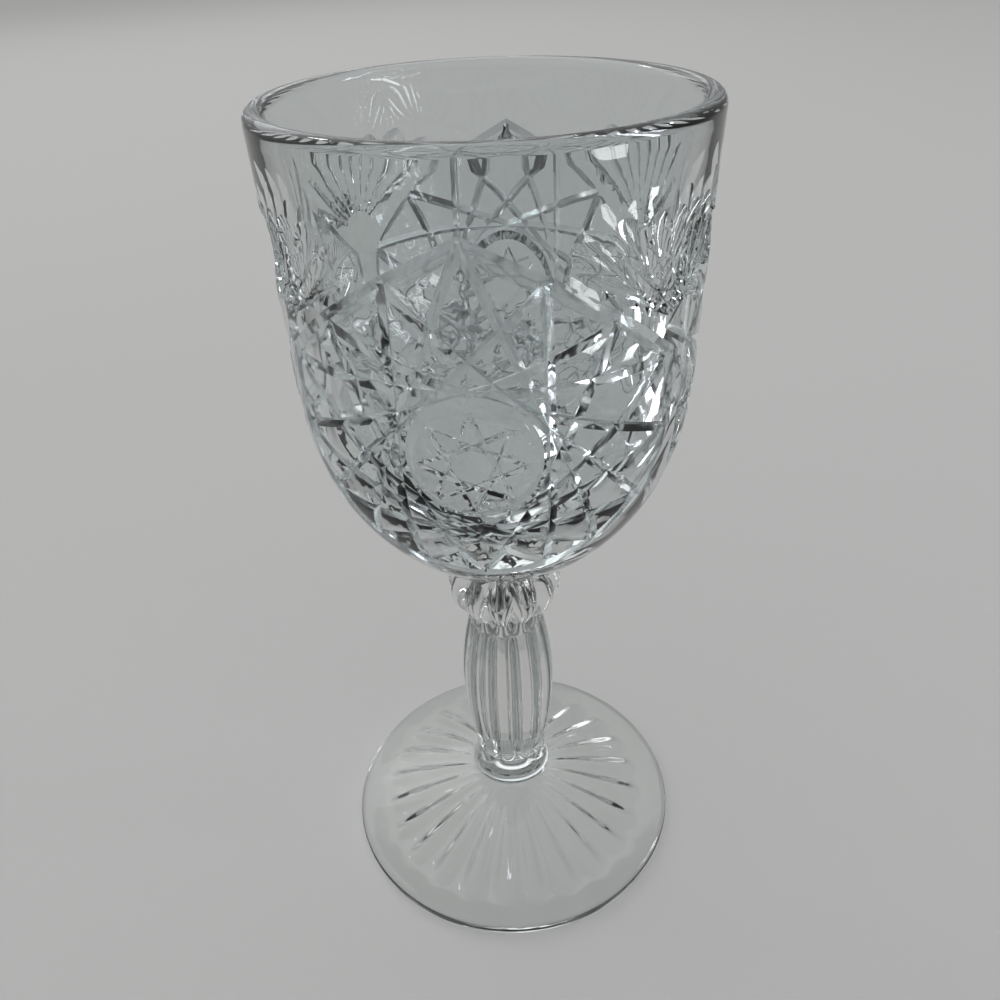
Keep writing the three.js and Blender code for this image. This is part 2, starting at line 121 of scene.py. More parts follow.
# Star panels: a wide one in front and at the back, a narrow one on each side
WIDE_HALF_ANGLE = math.radians(60)
NARROW_HALF_ANGLE = math.radians(30)
PANEL_GAP = 5.2
WIDE_POINTS = 16
NARROW_POINTS = 12
WIDE_SPAN = 6
NARROW_SPAN = 5
STAR_ABOVE_MIDDLE = 4.65
APEX_DROP = 10.5
NARROW_APEX_GAP = 2.4
CORNER_RISE = 11.8
CORNER_INSET = 0.8
UPPER_CORNERS_SHARE = 3 / 8
FRAME_BOW = 1.3
FRAME_SIDE_DROP = 1.0
FRAME_ROUNDING = 1.6
BOTTOM_DROP = 28.0
BAND_BELOW = 3.1
CUT_HALF_WIDTH = 0.8
CUT_DEPTH = 1.15
CUT_SHOULDER = 0.2
CELL_SLOPE = 0.2
FRAME_HALF_WIDTH = 1.3
FRAME_DEPTH = 0.65

# Button in the middle of each star
WIDE_BUTTON = 11.0
NARROW_BUTTON = 5.2
BUTTON_BEVEL = 1.9
BUTTON_POINTS = 8
BUTTON_SPAN = 3
BUTTON_STAR_INSET = 0.5
BUTTON_CUT_HALF_WIDTH = 0.5
BUTTON_CUT_DEPTH = 0.4
BUTTON_FADE_ROOM = 0.2
BUTTON_FADE = 1.5

# Fans of leaf-shaped flutes between the panels, each with a middle flute and others on both sides
SIDE_FLUTES = 4
FLUTE_DEPTH = 1.6
FLUTE_OVERLAP = 0.75
FLUTE_FULLNESS = 2.5
FLUTE_START = 3.0
FAN_TOP_GAP = 9.5
FAN_ABOVE_CORNER = 3.7
FAN_BASE = CORNER_RISE + FAN_ABOVE_CORNER
FAN_RADIUS = 27.0
FAN_MEETING_GAP = 0.6
FAN_SIDE_ANGLE = 0.03
FAN_SIDE_ROOM = 1.1

# Fineness of the meshes
HOLLOW_MIDDLE = 1.0
HOLLOW_ROWS = 44
EDGE_ROWS = 18
CONE_SHARES = np.linspace(0.02, 0.8, 16)
NECK_SHARES = np.linspace(0.9, 1, 40)
# Rows at the foot's neck that get the darker glass of painted shade
PAINTED_SHADE_NECK_ROWS = 17
RAY_COLUMNS = 16
RIB_COLUMNS = 16
RIB_ROWS = 72
WALL_STEPS = 1201
BASE_SHARES = np.linspace(0.95, 0, 20)
LIP_ANGLES = np.linspace(8, 180, 22)
INSIDE_SHARES = np.linspace(0.08, 1, 12)
ROUND_SHARES = np.linspace(0.03, 0.97, 30)
FACET = 0.62
FACET_SHIFT = 0.5
PAIR_SHIFT = 0.25
FINE_ROOM = 0.5
COARSE_ROOM = 0.8
FINE_FLUTE_ACROSS = 1.2
FINE_FLUTE_BEYOND = 1
FINE_RING_SHIFT = 0.5
FINE_RING_HALF_WIDTH = 1.5
FLUTE_STEPS = 15
FRAME_LINES = (-1, -0.5, 0.5, 1)
RING_SIDES_PER_MM = 10
SHARP_ANGLE = math.radians(18)

# Limits under which points fall together or a cell is no cell
MERGE = 1e-3
MERGE_DIGITS = 3
LEAST_CELL = 1e-3
LEAST_SLOPE = 1e-4
LEAST_SINE = 0.01
FLUTE_EDGE = 1.0001

# Numbers of the materials on a piece's faces, apart from 0 for its plain glass: foot and stem have darker
# glass of painted shade in the stem's grooves and at the foot's neck, the bowl has relief and cuts with
# painted shade
JOINT_SKIN = 1
PAINTED_SHADE_SKIN = 2
RELIEF_SKIN = 2
CUT_SKIN = 3

# Glass
GLASS_IOR = 1.52
WAVE_HEIGHT = 0.0004
BROAD_WAVES = 110
FINE_WAVES = 260
BOWL_WAVINESS = 0.1
PANEL_WAVINESS = 0.15
FOOT_WAVINESS = 0.05
SMOOTH_ROUGHNESS = 0.006
RELIEF_ROUGHNESS = 0.03
CUT_ROUGHNESS = 0.13
FOOT_ROUGHNESS = 0.03
GROOVE_ROUGHNESS = 0.08
SHADOW_TINT = (0.82, 0.84, 0.835, 1)
BOWL_TINT = (0.80, 0.832, 0.831)
# The relief and, more so, the cuts are tinted darker than the plain glass: painted shade
RELIEF_PAINTED_SHADE = (0.78, 0.818, 0.818)
CUT_PAINTED_SHADE = (0.70, 0.76, 0.762)
FOOT_TINT = (0.905, 0.912, 0.902)
# The stem's grooves and the foot's neck are tinted much darker than the glass: painted shade
GROOVE_AND_NECK_PAINTED_SHADE = (0.50, 0.54, 0.535)

# Stage, in metres: a floor just under the goblet, the point that the lamps face, the colours of the room
FLOOR_COLOUR = (0.52, 0.514, 0.503, 1)
FLOOR_ROUGHNESS = 0.9
FLOOR_SIZE = 12
FLOOR_GAP = 0.0001
LAMP_AIM = (0, 0, 0.08)
BRIGHT_SIDE = (-0.3, 0.05, 0.95)
DARK_ROOM = (0.25, 0.252, 0.255, 1)
MIDDLE_ROOM = (0.39, 0.393, 0.4, 1)
MIDDLE_ROOM_AT = 0.25
BRIGHT_ROOM = (0.78, 0.79, 0.80, 1)
BRIGHT_ROOM_AT = 0.6

# Camera, in metres and degrees; turned round the goblet, away from the middle of a wide panel
CAMERA_DISTANCE = 0.14481
CAMERA_HEIGHT = 0.18531
CAMERA_PITCH = math.radians(33.87)
CAMERA_YAW = math.radians(-0.08)
CAMERA_ROLL = math.radians(-2.44)
CAMERA_TURN = math.radians(6.6)
CAMERA_NEAR = 0.005
SENSOR_WIDTH = 36
LENS_PER_SENSOR = 0.8919


def glass_object(name, node, skin, materials):
    """Mesh piece in place of a CAD node, with those of the materials that its faces use."""
    mesh = bpy.data.meshes.new(name)
    mesh.from_pydata((np.asarray(skin.points) * MM).tolist(), [], skin.faces)
    for material in materials[: max(skin.skins.values()) + 1]:
        mesh.materials.append(material)
    mesh.shade_smooth()
    mesh.set_sharp_from_angle(angle=SHARP_ANGLE)
    for index, number in skin.skins.items():
        mesh.polygons[index].material_index = number
    obj = bpy.data.objects.new(name, mesh)
    bpy.context.scene.collection.objects.link(obj)
    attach(obj, "root")
    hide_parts(node)


class Skin:
    """Vertices and faces of a body, with the material number of each face that isn't plain glass."""

    def __init__(self):
        self.points = []
        self.faces = []
        self.skins = {}

    def add(self, radius, angle, z):
        self.points.append((radius * math.sin(angle), -radius * math.cos(angle), z))
        return len(self.points) - 1

    def ring(self, radii, angles, heights):
        return [self.add(r, a, z) for r, a, z in zip(radii, angles, heights)]

    def strip(self, lower, upper):
        count = len(lower)
        for k in range(count):
            n = (k + 1) % count
            self.faces.append((lower[k], lower[n], upper[n], upper[k]))

    def cap(self, ring, z, up, clear):
        centre = self.add(0, 0, z)
        count = len(ring)
        for k in range(count):
            n = (k + 1) % count
            if clear:
                self.skins[len(self.faces)] = JOINT_SKIN
            self.faces.append((ring[k], ring[n], centre) if up else (ring[n], ring[k], centre))


def stacked(columns, rows, place, clear_bottom, bottom):
    """Body of rings with a joint on top; place(row, angle) gives the radius and height of each point."""
    skin = Skin()
    angles = [TURN * k / columns for k in range(columns)]
    last = None
    for row in range(rows):
        spots = [place(row, a) for a in angles]
        ring = skin.ring([s[0] for s in spots], angles, [s[1] for s in spots])
        if last is None:
            skin.cap(ring, bottom, False, clear_bottom)
        else:
            skin.strip(last, ring)
        last = ring
    skin.cap(last, spots[0][1], True, True)
    return skin


def add_painted_shade(skin, columns, rows, chosen):
    """Darker glass of painted shade on a stacked body, on the faces just below these rows and in the chosen
    columns.
    """
    for row in rows:
        for k in chosen:
            skin.skins[columns * row + k] = PAINTED_SHADE_SKIN


def foot_profile():
    """Radius and height of each row of the foot, from its hollow round the edge and up to the stem."""
    bead = EDGE_THICKNESS / 2
    ring_out = FOOT_RADIUS - bead
    ring_in = ring_out - RING_WIDTH
    rows = []
    for r in np.linspace(HOLLOW_MIDDLE, ring_in, HOLLOW_ROWS):
        rows.append((r, HOLLOW_HEIGHT * (1 - (r / ring_in) ** 2) ** HOLLOW_ROUNDING))
    rows.append((ring_out - RING_WIDTH / 2, 0.0))
    for a in np.radians(np.linspace(*EDGE_ANGLES, EDGE_ROWS)):
        rows.append((ring_out + bead * math.cos(a), bead + bead * math.sin(a)))
    for q in np.concatenate([CONE_SHARES, NECK_SHARES]):
        rise = (FOOT_TOP - EDGE_THICKNESS) * (FOOT_CONE * q + (1 - FOOT_CONE) * q**FOOT_FLARE)
        rows.append((ring_out + (JOINT_RADIUS - ring_out) * q, EDGE_THICKNESS + rise))
    return rows


def ray_depth(r, angle):
    """Depth of the rays in the foot's hollow."""
    share = (r - RAY_START) / (RAY_END - RAY_START)
    if not 0 < share < 1:
        return 0.0
    leaf = math.sin(math.pi * share**RAY_LEAN) ** RAY_FULLNESS
    return RAY_DEPTH * leaf * (0.5 + 0.5 * math.cos(RAY_COUNT * angle)) ** RAY_SHARPNESS


def make_foot():
    """Round foot with a rounded edge, a hollow underside with rays, and a cone up to the stem."""
    profile = foot_profile()
    rows = len(profile)
    columns = RAY_COUNT * RAY_COLUMNS

    def place(row, angle):
        r, z = profile[row]
        return r, z + (ray_depth(r, angle) if row < HOLLOW_ROWS else 0.0)

    skin = stacked(columns, rows, place, False, HOLLOW_HEIGHT)
    # Painted shade: the neck's rows get the darker glass
    add_painted_shade(skin, columns, range(rows - PAINTED_SHADE_NECK_ROWS, rows), range(columns))
    glass_object("foot_glass", "foot", skin, (foot_glass, joint, painted_shade_glass))


def ramp(q):
    """Quarter circle from 0 up to 1."""
    q = min(1.0, max(0.0, q))
    return math.sqrt(1 - (1 - q) ** 2)


def rib_across(angle):
    """Place across a rib, 0 on its crest and 1 or -1 in the grooves beside it."""
    return (RIB_COUNT * angle / TURN + 0.5) % 1 * 2 - 1


def ribbed(low, high, widest, skew, fullness, depth, crest, petal=0.0, start=0.0):
    """Swelling body with ribs; petal pulls the grooves' lower ends up, so that the ribs end as petals."""
    length = high - low

    def place(row, angle):
        v = 0.5 - 0.5 * math.cos(math.pi * row / (RIB_ROWS - 1))
        groove = abs(rib_across(angle)) ** crest
        bent = max(0.0, (v - start) / (1 - start)) ** (1 + petal * groove)
        swell = max(0.0, math.sin(math.pi * bent**skew)) ** fullness
        fade = ramp(v * length / RIB_FADE) * ramp((1 - v) * length / RIB_FADE)
        radius = JOINT_RADIUS + (widest - JOINT_RADIUS) * swell - depth * groove * fade
        return radius, low + length * v

    return stacked(RIB_COUNT * RIB_COLUMNS, RIB_ROWS, place, True, low)


def make_stem():
    skin = ribbed(FOOT_TOP, STEM_TOP, STEM_RADIUS, STEM_SKEW, STEM_FULLNESS, RIB_DEPTH, RIB_CREST)
    columns = RIB_COUNT * RIB_COLUMNS
    middles = [TURN * (k + 0.5) / columns for k in range(columns)]
    # Painted shade: the faces in the grooves get the darker glass
    grooves = [k for k, angle in enumerate(middles) if abs(rib_across(angle)) > GROOVE_START]
    add_painted_shade(skin, columns, range(1, RIB_ROWS), grooves)
    glass_object("stem_glass", "stem", skin, (foot_glass, joint, painted_shade_glass))


def make_collar():
    skin = ribbed(
        STEM_TOP, COLLAR_TOP, COLLAR_RADIUS, COLLAR_SKEW, COLLAR_FULLNESS,
        LOBE_DEPTH, LOBE_CREST, LOBE_PETAL, LOBE_START,
    )
    glass_object("collar_glass", "collar", skin, (foot_glass, joint))


# Wall of the bowl: height, radius and length along it from the joint
LIP_FOOT = BOWL_HEIGHT - LIP_RADIUS
wall_z = np.linspace(0, LIP_FOOT, WALL_STEPS)
below = np.clip((SHOULDER_HEIGHT - wall_z) / SHOULDER_HEIGHT, 0, 1)
above = np.clip((wall_z - SHOULDER_HEIGHT) / (LIP_FOOT - SHOULDER_HEIGHT), 0, 1)
wall_r = JOINT_RADIUS + (SHOULDER_RADIUS - JOINT_RADIUS) * (1 - below**BOWL_FULLNESS) ** BOWL_ROUNDING
wall_r += (RIM_RADIUS - SHOULDER_RADIUS) * above
wall_s = np.concatenate([[0], np.cumsum(np.hypot(np.diff(wall_z), np.diff(wall_r)))])
slope_r = np.gradient(wall_r, wall_s)
slope_z = np.gradient(wall_z, wall_s)
STAR_CENTRE = wall_s[-1] / 2 + STAR_ABOVE_MIDDLE
PANEL_TOP = wall_s[-1] - STAR_CENTRE


def wall_at(y, h):
    """Radius and height at a length y along the wall above the star centre, h outside the wall."""
    s = STAR_CENTRE + np.asarray(y, float)
    r = np.interp(s, wall_s, wall_r) + np.interp(s, wall_s, slope_z) * h
    z = np.interp(s, wall_s, wall_z) - np.interp(s, wall_s, slope_r) * h
    return r, z + COLLAR_TOP


def frame_corners(half_width, apex, count):
    """Corners of a star's frame, round from the apex: bowed upper edges, rounded sides and bottom."""
    half = count // 2
    upper = round(half * UPPER_CORNERS_SHARE)
    lower = half - upper - 1
    right = []
    for i in range(upper + 1):
        t = i / upper
        bow = 4 * FRAME_BOW * t * (1 - t)
        right.append(((half_width - CORNER_INSET) * t, apex + (CORNER_RISE - apex) * t + bow))
    for k in range(lower + 1):
        a = math.pi / 2 * k / lower
        c = 0.0 if k == lower else math.cos(a)
        down = math.sin(a) / (BOTTOM_DROP - FRAME_SIDE_DROP)
        reach = ((c / half_width) ** FRAME_ROUNDING + down**FRAME_ROUNDING) ** (-1 / FRAME_ROUNDING)
        y = -FRAME_SIDE_DROP - reach * math.sin(a)
        right.append((reach * c * SHOULDER_RADIUS / float(wall_at(y, 0)[0]), y))
    left = [(-x, y) for x, y in right[1:-1]]
    return np.array([right[0], *left, *right[:0:-1]])


def ring_of(count, radius):
    """Corners of a regular polygon round the star centre, from its top."""
    a = TURN * np.arange(count) / count
    return np.column_stack([-radius * np.sin(a), radius * np.cos(a)])


def chords(corners, span):
    """Chords of a star, as pairs of points: each goes from a corner to the one a span of corners on."""
    return [(p, corners[(i + span) % len(corners)]) for i, p in enumerate(corners)]


def sides(corners):
    """Sides of a polygon, as pairs of points."""
    return chords(corners, 1)


def line_distance(points, p, q):
    """Distance of points from the line through p and q, positive on its left."""
    d = (q - p) / np.hypot(*(q - p))
    return (points[:, 1] - p[1]) * d[0] - (points[:, 0] - p[0]) * d[1]


def inside(points, corners):
    return np.min([line_distance(points, p, q) for p, q in sides(corners)], axis=0) > 0


class Panel:
    """Unrolled panel with a star: x is the arc at the shoulder, y the length along the wall."""

    def __init__(self, half_angle, apex, points, span, button):
        self.half = half_angle * SHOULDER_RADIUS
        self.frame = frame_corners(self.half - PANEL_GAP / 2, apex, points)
        self.chords = chords(self.frame, span)
        self.button = button
        self.small_reach = button - BUTTON_BEVEL - BUTTON_STAR_INSET
        self.small_star = ring_of(BUTTON_POINTS, self.small_reach)
        self.small_chords = chords(self.small_star, BUTTON_SPAN)
        self.base = np.array([self.half, FAN_BASE])


def fan_spread(panel):
    """Angle between the fan's middle and its last ridge, which runs beside the frame's groove."""
    upper = [p for p in panel.frame if p[0] >= 0 and p[1] > FAN_BASE]
    groove = FRAME_HALF_WIDTH * FAN_SIDE_ROOM
    angles = [math.atan2(panel.half - x, y + groove - FAN_BASE) for x, y in upper]
    return min(angles) - FAN_SIDE_ANGLE


wide_panel = Panel(WIDE_HALF_ANGLE, PANEL_TOP - APEX_DROP, WIDE_POINTS, WIDE_SPAN, WIDE_BUTTON)
FAN_SPREAD = fan_spread(wide_panel)
FLUTE_PITCH = FAN_SPREAD / (SIDE_FLUTES + 0.5)
narrow_half = NARROW_HALF_ANGLE * SHOULDER_RADIUS
narrow_apex = FAN_BASE + narrow_half / math.tan(FAN_SPREAD) - NARROW_APEX_GAP
narrow_panel = Panel(NARROW_HALF_ANGLE, narrow_apex, NARROW_POINTS, NARROW_SPAN, NARROW_BUTTON)
PANEL_LOW = wide_panel.frame[:, 1].min() - BAND_BELOW


def flute_length(panel, number):
    """Length of a flute, up to the line where all end or to the middle of a narrow panel."""
    angle = FLUTE_PITCH * np.asarray(number, float)
    roof = np.minimum(FAN_RADIUS, (PANEL_TOP - FAN_TOP_GAP - FAN_BASE) / np.cos(angle))
    return np.minimum(roof, (panel.half - FAN_MEETING_GAP) / np.maximum(np.sin(angle), LEAST_SINE))


def frame_distance(panel, points):
    """Distance outwards from the frame, negative inside it, with mitred corners."""
    return -np.min([line_distance(points, p, q) for p, q in sides(panel.frame)], axis=0)


def chord_distance(points, lines):
    return np.min([np.abs(line_distance(points, p, q)) for p, q in lines], axis=0)


def fan_place(panel, points):
    """Number of the flute that each point is in, its place across it and its distance from the base."""
    dx = panel.half - np.abs(points[:, 0])
    dy = points[:, 1] - FAN_BASE
    angle = np.arctan2(dx, dy) / FLUTE_PITCH
    number = np.clip(np.round(angle), 0, SIDE_FLUTES)
    return number, (angle - number) * 2, np.hypot(dx, dy)


def cut_profile(distance):
    """Height at a distance from the bottom of a V cut, with a gently sloped cell beyond its shoulder."""
    flank = (CUT_DEPTH - CUT_SHOULDER) * np.minimum(distance / CUT_HALF_WIDTH, 1)
    cell = CELL_SLOPE * np.maximum(distance - CUT_HALF_WIDTH, 0)
    return np.minimum(0, flank + cell - CUT_DEPTH)


def star_heights(panel, points, outwards):
    """Heights in the frame's groove and in the cuts of the star."""
    channel = np.clip(np.abs(outwards) / FRAME_HALF_WIDTH, 0, 1)
    h = -FRAME_DEPTH * (0.5 + 0.5 * np.cos(math.pi * channel))
    star = cut_profile(chord_distance(points, panel.chords))
    return np.where(outwards < 0, np.minimum(h, star), h)


def button_heights(panel, points, h):
    """Heights with the button set in: a groove round it, its bevel and its small star."""
    rho = np.hypot(*points.T)
    ring = cut_profile(np.abs(rho - panel.button))
    bevel = -CUT_DEPTH * np.clip(1 - (panel.button - rho) / BUTTON_BEVEL, 0, 1)
    h = np.where(rho < panel.button, bevel, np.minimum(h, ring))
    fade = np.clip((panel.small_reach + BUTTON_FADE_ROOM - rho) / BUTTON_FADE, 0, 1)
    small = np.clip(1 - chord_distance(points, panel.small_chords) / BUTTON_CUT_HALF_WIDTH, 0, 1)
    return np.where(inside(points, panel.small_star), -BUTTON_CUT_DEPTH * small * fade, h)


def heights(panel, points):
    """Height of the panel's surface over the plain wall, negative in the cuts and flutes."""
    outwards = frame_distance(panel, points)
    h = button_heights(panel, points, star_heights(panel, points, outwards))
    number, across, d = fan_place(panel, points)
    half = (flute_length(panel, number) - FLUTE_START) / 2
    along = 1 - np.abs((d - FLUTE_START) / half - 1) ** FLUTE_FULLNESS
    scoop = np.clip(along - (FLUTE_OVERLAP * across) ** 2, 0, 1)
    in_fan = (np.abs(across) <= FLUTE_EDGE) & (outwards > 0) & (d > FLUTE_START)
    return np.where(in_fan & (scoop > 0), -FLUTE_DEPTH * scoop, h)


def clip(polygon, normal, limit):
    """Part of a convex polygon whose points' share along the normal is at most limit."""
    kept = []
    for k, p in enumerate(polygon):
        q = polygon[(k + 1) % len(polygon)]
        dp = normal @ p - limit
        dq = normal @ q - limit
        if dp <= 0:
            kept.append(p)
        if dp * dq < 0:
            kept.append(p + (q - p) * dp / (dp - dq))
    return kept


def left_normal(p, q):
    d = (q - p) / np.hypot(*(q - p))
    return np.array([-d[1], d[0]])


def size_of(polygon):
    x, y = np.array(polygon).T
    return 0.5 * abs(np.dot(x, np.roll(y, -1)) - np.dot(y, np.roll(x, -1)))


def cells(corners, lines):
    """Convex cells into which a star's chords split the polygon of its points."""
    parts = [list(corners)]
    for p, q in lines:
        n = left_normal(p, q)
        halves = []
        for part in parts:
            halves += [clip(part, n, n @ p), clip(part, -n, -n @ p)]
        parts = [half for half in halves if len(half) > 2 and size_of(half) > LEAST_CELL]
    return parts


def roof_lines(cell, width):
    """Edges of the slopes that rise from the sides of a cell, up to this width, and of its flat top."""
    normals = [left_normal(p, q) for p, q in sides(cell)]
    starts = [n @ p for n, p in zip(normals, cell)]
    lines = []
    for i, (n, c) in enumerate(zip(normals, starts)):
        slope = clip(cell, n, c + width)
        for j, (m, e) in enumerate(zip(normals, starts)):
            if j != i and len(slope) > 2:
                slope = clip(slope, n - m, c - e)
        if len(slope) > 2 and size_of(slope) > LEAST_SLOPE:
            lines += sides(slope)
    return lines


def crossing(a, b):
    """Point where two lines, each given by two points, cross."""
    d = a[1] - a[0]
    e = b[1] - b[0]
    w = b[0] - a[0]
    return a[0] + d * (w[0] * e[1] - w[1] * e[0]) / (d[0] * e[1] - d[1] * e[0])


def flute_lines(panel, side):
    """Ridges between the flutes of half a fan and the ends of the flutes."""
    lines = []

    def spot(angle, d):
        return panel.base * (side, 1) + d * np.array([-side * math.sin(angle), math.cos(angle)])

    for k in range(SIDE_FLUTES + 1):
        half = (float(flute_length(panel, k)) - FLUTE_START) / 2
        for end in (-1, 1):
            arc = []
            for u in np.linspace(-1 if k else 0, 1, FLUTE_STEPS):
                d = half * (1 + end * (1 - (FLUTE_OVERLAP * u) ** 2) ** (1 / FLUTE_FULLNESS))
                arc.append(spot(FLUTE_PITCH * (k + u / 2), FLUTE_START + d))
            lines += list(zip(arc[:-1], arc[1:]))
        reach = half * (1 - FLUTE_OVERLAP**2) ** (1 / FLUTE_FULLNESS)
        edge = FLUTE_PITCH * (k + 0.5)
        lines.append((spot(edge, FLUTE_START + half - reach), spot(edge, FLUTE_START + half + reach)))
    return lines


def beside(corners, by):
    """Sides of a polygon moved inwards by a distance, with mitred corners."""
    moved = []
    for p, q in sides(corners):
        step = left_normal(p, q) * by
        moved.append((p + step, q + step))
    return sides([crossing(moved[k - 1], moved[k]) for k in range(len(moved))])


def panel_lines(panel):
    """Lines that the panel's triangles follow."""
    lines = []
    for cell in cells(panel.frame, panel.chords):
        lines += roof_lines(cell, CUT_HALF_WIDTH)
        lines += roof_lines(cell, panel.half)
    for share in FRAME_LINES:
        lines += beside(panel.frame, share * FRAME_HALF_WIDTH)
    for cell in cells(panel.small_star, panel.small_chords):
        lines += roof_lines(cell, BUTTON_CUT_HALF_WIDTH)
    for radius in (panel.button + CUT_HALF_WIDTH, panel.button, panel.button - BUTTON_BEVEL):
        lines += sides(ring_of(round(radius * RING_SIDES_PER_MM), radius))
    for side in (-1, 1):
        lines += flute_lines(panel, side)
    unique = {}
    for p, q in lines:
        key = tuple(sorted([tuple(np.round(p, MERGE_DIGITS)), tuple(np.round(q, MERGE_DIGITS))]))
        unique[key] = (p, q)
    return list(unique.values())


def needs_fine(panel, points):
    """Where the surface is curved: the fans and the groove round the button."""
    number, across, d = fan_place(panel, points)
    fan = (np.abs(across) < FINE_FLUTE_ACROSS) & (d < flute_length(panel, number) + FINE_FLUTE_BEYOND)
    ring = np.abs(np.hypot(*points.T) - panel.button - FINE_RING_SHIFT) < FINE_RING_HALF_WIDTH
    return fan | ring


def edge_points(panel):
    """Evenly spaced points on the four edges of a panel."""
    ys = np.linspace(PANEL_LOW, PANEL_TOP, round((PANEL_TOP - PANEL_LOW) / FACET) + 1)
    xs = np.linspace(-panel.half, panel.half, round(2 * panel.half / FACET) + 1)
    points = [(-panel.half, y) for y in ys] + [(panel.half, y) for y in ys]
    return points + [(x, PANEL_LOW) for x in xs[1:-1]] + [(x, PANEL_TOP) for x in xs[1:-1]]


def filling_points(panel, points):
    """Points between those of the edges and lines, closer together where the surface is curved."""
    taken = KDTree(len(points))
    for k, (x, y) in enumerate(points):
        taken.insert((x, y, 0), k)
    taken.balance()
    row_height = FACET * math.sqrt(3) / 2
    grid = []
    for row in range(1, int((PANEL_TOP - PANEL_LOW) / row_height)):
        for column in range(1, int(2 * panel.half / FACET)):
            coarse = row % 2 == 0 and column % 2 == 0
            x = -panel.half + FACET * (column + FACET_SHIFT * (row % 2) + PAIR_SHIFT * (row // 2 % 2))
            grid.append((x, PANEL_LOW + row * row_height, coarse))
    fine = needs_fine(panel, np.array([g[:2] for g in grid]))
    kept = []
    for (x, y, coarse), wanted in zip(grid, fine):
        room = FACET * (FINE_ROOM if wanted else COARSE_ROOM)
        if (coarse or wanted) and taken.find((x, y, 0))[2] > room:
            kept.append((x, y))
    return kept


def panel_triangles(panel):
    """Points and triangles of one unrolled panel."""
    points = edge_points(panel)
    edges = []
    for p, q in panel_lines(panel):
        steps = max(1, round(np.hypot(*(q - p)) / FACET))
        first = len(points)
        points += [tuple(p + (q - p) * k / steps) for k in range(steps + 1)]
        edges += [(first + k, first + k + 1) for k in range(steps)]
    points += filling_points(panel, points)
    flat, _, triangles, *_ = delaunay_2d_cdt([Vector(p) for p in points], edges, [], 0, MERGE)
    return np.array([tuple(v) for v in flat]), triangles


def panel_skins(panel, middles):
    """Material number of the triangles with these middles: cuts and relief between them, both with painted
    shade, or plain glass.
    """
    outwards = frame_distance(panel, middles)
    in_cut = chord_distance(middles, panel.chords) < CUT_HALF_WIDTH
    in_cut |= np.abs(outwards) < FRAME_HALF_WIDTH
    kinds = np.where(outwards < FRAME_HALF_WIDTH, np.where(in_cut, CUT_SKIN, RELIEF_SKIN), 0)
    return np.where(np.hypot(*middles.T) < panel.button, 0, kinds)


def add_panels(skin):
    """Four panels, joined at their seams; gives the vertices along their lower and upper edges."""
    seam = {}
    edges = {PANEL_LOW: [], PANEL_TOP: []}
    drawn = {panel: panel_triangles(panel) for panel in (wide_panel, narrow_panel)}
    for quarter, panel in enumerate((wide_panel, narrow_panel, wide_panel, narrow_panel)):
        flat, triangles = drawn[panel]
        x, y = flat.T
        r, z = wall_at(y, heights(panel, flat))
        ids = []
        for k in range(len(flat)):
            angle = x[k] / SHOULDER_RADIUS + TURN * quarter / 4
            key = None
            if abs(x[k]) > panel.half - MERGE:
                key = (round(math.degrees(angle)) % 360, round(y[k], MERGE_DIGITS))
            if key in seam:
                ids.append(seam[key])
                continue
            index = skin.add(r[k], angle, z[k])
            ids.append(index)
            if key is not None:
                seam[key] = index
            for level, edge in edges.items():
                if abs(y[k] - level) < MERGE:
                    edge.append((angle, index))
        kinds = panel_skins(panel, flat[np.array(triangles)].mean(axis=1))
        for triangle, kind in zip(triangles, kinds):
            if kind:
                skin.skins[len(skin.faces)] = kind
            skin.faces.append(tuple(ids[i] for i in triangle))
    return edges


def continued(skin, edge, profile):
    """Pairs of rings that run on from the panels' edge along a profile of radius and height."""
    row = sorted(edge)
    angles = [a for a, _ in row]
    last = [index for _, index in row]
    for radius, height in profile:
        ring = skin.ring([radius] * len(row), angles, [height] * len(row))
        yield last, ring
        last = ring


def base_profile():
    """Plain wall from the panels down to the joint."""
    lowest = STAR_CENTRE + PANEL_LOW
    spots = [wall_at(lowest * t - STAR_CENTRE, 0) for t in BASE_SHARES]
    return [(float(r), float(z)) for r, z in spots]


def inside_profile():
    """Rounded lip, then the smooth inside down to the bowl's floor."""
    lip = RIM_RADIUS - LIP_RADIUS
    spots = []
    for a in np.radians(LIP_ANGLES):
        spots.append((lip + LIP_RADIUS * math.cos(a), LIP_FOOT + LIP_RADIUS * math.sin(a)))
    top = RIM_RADIUS - 2 * LIP_RADIUS
    shoulder = SHOULDER_RADIUS - WALL
    for t in INSIDE_SHARES:
        spots.append((top + (shoulder - top) * t, LIP_FOOT + (SHOULDER_HEIGHT - LIP_FOOT) * t))
    for a in ROUND_SHARES * math.pi / 2:
        t = math.sin(a)
        radius = shoulder * (1 - t**INSIDE_FULLNESS) ** INSIDE_ROUNDING
        spots.append((radius, SHOULDER_HEIGHT - (SHOULDER_HEIGHT - BOWL_FLOOR) * t))
    return [(r, z + COLLAR_TOP) for r, z in spots]


def make_bowl():
    """Bowl with four panels, a plain wall below them, a rounded lip and a smooth inside."""
    skin = Skin()
    edges = add_panels(skin)
    for upper, lower in continued(skin, edges[PANEL_LOW], base_profile()):
        skin.strip(lower, upper)
    skin.cap(lower, COLLAR_TOP, False, True)
    for lower, upper in continued(skin, edges[PANEL_TOP], inside_profile()):
        skin.strip(lower, upper)
    skin.cap(upper, COLLAR_TOP + BOWL_FLOOR, True, False)
    glass_object("bowl_glass", "bowl", skin, (smooth_glass, joint, shaded_relief_glass, shaded_cut_glass))


